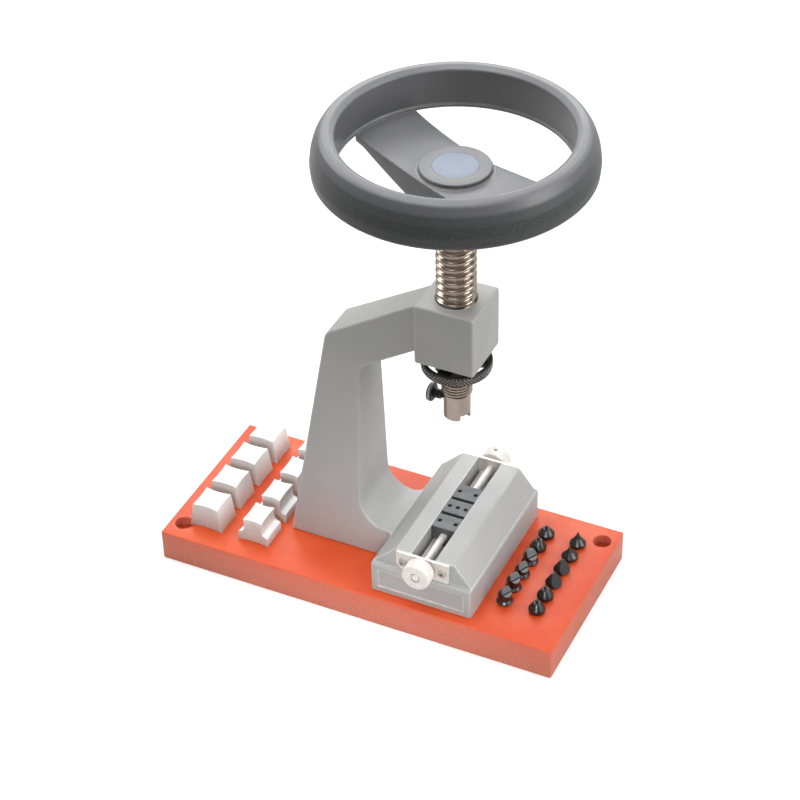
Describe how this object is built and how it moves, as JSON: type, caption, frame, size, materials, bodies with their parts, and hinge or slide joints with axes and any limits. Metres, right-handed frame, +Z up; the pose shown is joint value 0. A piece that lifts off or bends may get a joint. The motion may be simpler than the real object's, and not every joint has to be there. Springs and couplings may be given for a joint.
{
  "type": "bench watch case opener",
  "caption": "Cast C-frame on a painted board, with a handwheel screw over a small opening jaw vise, and racks of bits and case supports for opening watch case backs.",
  "frame": {"origin": "centre of the board's underside", "axes": "+X along the board towards the bits, +Y across it to the back, +Z up"},
  "size_m": [0.27, 0.1628, 0.3338],
  "materials": {
    "board_paint": "satin orange-red paint over wood",
    "casting_paint": "satin silver-grey sprayed paint",
    "bright_nickel": "bright nickel plate, turned",
    "warm_nickel": "warm nickel plate over turned threads",
    "bronze": "turned bronze",
    "wheel_paint": "fine-grained matte dark grey paint",
    "cap_disc": "satin pale blue-grey",
    "jaw_black": "grainy black anodising",
    "black_oxide": "oiled black oxide",
    "zinc_steel": "zinc plate",
    "white_plastic": "matte moulded plastic"
  },
  "bodies": {
    "root": {"base_board": "board_paint", "frame_casting": "casting_paint", "frame_screws": "zinc_steel", "spindle_nut": "bronze", "front_end_plate": "bright_nickel", "back_end_plate": "bright_nickel", "plate_screws": "bright_nickel", "guide_rods": "bright_nickel", "centre_block": "jaw_black"},
    "front_jaw": {"front_jaw": "jaw_black"},
    "back_jaw": {"back_jaw": "jaw_black"},
    "lead_screw": {"lead_screw": "bright_nickel", "front_knob": "bright_nickel", "back_knob": "bright_nickel", "knob_set_screws": "black_oxide"},
    "hub_cap": {"hub_cap": "cap_disc"},
    "spindle": {"spindle_screw": "warm_nickel", "handwheel": "wheel_paint", "hub_washer": "zinc_steel", "wheel_bolt": "zinc_steel"},
    "stop_ring": {"stop_ring": "black_oxide"},
    "thumb_screw": {"thumb_screw": "black_oxide"},
    "bit_a1": {"bit_a1": "black_oxide"},
    "bit_a2": {"bit_a2": "black_oxide"},
    "bit_a3": {"bit_a3": "black_oxide"},
    "bit_a4": {"bit_a4": "black_oxide"},
    "bit_a5": {"bit_a5": "black_oxide"},
    "bit_a6": {"bit_a6": "black_oxide"},
    "bit_b1": {"bit_b1": "black_oxide"},
    "bit_b2": {"bit_b2": "black_oxide"},
    "bit_b3": {"bit_b3": "black_oxide"},
    "bit_b4": {"bit_b4": "black_oxide"},
    "bit_b5": {"bit_b5": "black_oxide"},
    "bit_b6": {"bit_b6": "black_oxide"},
    "large_support_1": {"large_support_1": "white_plastic"},
    "large_support_2": {"large_support_2": "white_plastic"},
    "large_support_3": {"large_support_3": "white_plastic"},
    "large_support_4": {"large_support_4": "white_plastic"},
    "small_support_1": {"small_support_1": "white_plastic"},
    "small_support_2": {"small_support_2": "white_plastic"},
    "small_support_3": {"small_support_3": "white_plastic"},
    "small_support_4": {"small_support_4": "white_plastic"}
  },
  "joints": [
    {"name": "spindle_feed", "type": "slide", "parent": "root", "child": "hub_cap", "axis": [0, 0, -1], "range_m": [-0.00125, 0.06]},
    {"name": "wheel_turn", "type": "hinge", "parent": "hub_cap", "child": "spindle", "pos_m": [0.0465, 0, 0.2], "axis": [0, 0, -1], "range_deg": [-90, 4320]},
    {"name": "ring_adjust", "type": "slide", "parent": "spindle", "child": "stop_ring", "axis": [0, 0, 1], "range_m": [-0.016, 0.0015]},
    {"name": "thumb_turn", "type": "hinge", "parent": "spindle", "child": "thumb_screw", "pos_m": [0.03, 0, 0.145], "axis": [-1, 0, 0], "range_deg": [-360, 1080]},
    {"name": "lead_screw_turn", "type": "hinge", "parent": "root", "child": "lead_screw", "pos_m": [0.0465, 0, 0.052], "axis": [0, -1, 0], "range_deg": [-540, 9000]},
    {"name": "front_jaw_slide", "type": "slide", "parent": "root", "child": "front_jaw", "axis": [0, -1, 0], "range_m": [-0.0012, 0.02]},
    {"name": "back_jaw_slide", "type": "slide", "parent": "root", "child": "back_jaw", "axis": [0, 1, 0], "range_m": [-0.0012, 0.02]},
    {"name": "bit_a1_lift", "type": "slide", "parent": "root", "child": "bit_a1", "axis": [0, 0, 1], "range_m": [0, 0.02]},
    {"name": "bit_a2_lift", "type": "slide", "parent": "root", "child": "bit_a2", "axis": [0, 0, 1], "range_m": [0, 0.02]},
    {"name": "bit_a3_lift", "type": "slide", "parent": "root", "child": "bit_a3", "axis": [0, 0, 1], "range_m": [0, 0.02]},
    {"name": "bit_a4_lift", "type": "slide", "parent": "root", "child": "bit_a4", "axis": [0, 0, 1], "range_m": [0, 0.02]},
    {"name": "bit_a5_lift", "type": "slide", "parent": "root", "child": "bit_a5", "axis": [0, 0, 1], "range_m": [0, 0.02]},
    {"name": "bit_a6_lift", "type": "slide", "parent": "root", "child": "bit_a6", "axis": [0, 0, 1], "range_m": [0, 0.02]},
    {"name": "bit_b1_lift", "type": "slide", "parent": "root", "child": "bit_b1", "axis": [0, 0, 1], "range_m": [0, 0.02]},
    {"name": "bit_b2_lift", "type": "slide", "parent": "root", "child": "bit_b2", "axis": [0, 0, 1], "range_m": [0, 0.02]},
    {"name": "bit_b3_lift", "type": "slide", "parent": "root", "child": "bit_b3", "axis": [0, 0, 1], "range_m": [0, 0.02]},
    {"name": "bit_b4_lift", "type": "slide", "parent": "root", "child": "bit_b4", "axis": [0, 0, 1], "range_m": [0, 0.02]},
    {"name": "bit_b5_lift", "type": "slide", "parent": "root", "child": "bit_b5", "axis": [0, 0, 1], "range_m": [0, 0.02]},
    {"name": "bit_b6_lift", "type": "slide", "parent": "root", "child": "bit_b6", "axis": [0, 0, 1], "range_m": [0, 0.02]},
    {"name": "large_support_1_lift", "type": "slide", "parent": "root", "child": "large_support_1", "axis": [0, 0, 1], "range_m": [0, 0.02]},
    {"name": "large_support_2_lift", "type": "slide", "parent": "root", "child": "large_support_2", "axis": [0, 0, 1], "range_m": [0, 0.02]},
    {"name": "large_support_3_lift", "type": "slide", "parent": "root", "child": "large_support_3", "axis": [0, 0, 1], "range_m": [0, 0.02]},
    {"name": "large_support_4_lift", "type": "slide", "parent": "root", "child": "large_support_4", "axis": [0, 0, 1], "range_m": [0, 0.02]},
    {"name": "small_support_1_lift", "type": "slide", "parent": "root", "child": "small_support_1", "axis": [0, 0, 1], "range_m": [0, 0.02]},
    {"name": "small_support_2_lift", "type": "slide", "parent": "root", "child": "small_support_2", "axis": [0, 0, 1], "range_m": [0, 0.02]},
    {"name": "small_support_3_lift", "type": "slide", "parent": "root", "child": "small_support_3", "axis": [0, 0, 1], "range_m": [0, 0.02]},
    {"name": "small_support_4_lift", "type": "slide", "parent": "root", "child": "small_support_4", "axis": [0, 0, 1], "range_m": [0, 0.02]}
  ],
  "couplings": [
    {"joint": "spindle_feed", "follows": "wheel_turn", "m_per_rad": 0.00079577},
    {"joint": "front_jaw_slide", "follows": "lead_screw_turn", "m_per_rad": 0.00012732},
    {"joint": "back_jaw_slide", "follows": "lead_screw_turn", "m_per_rad": 0.00012732}
  ]
}
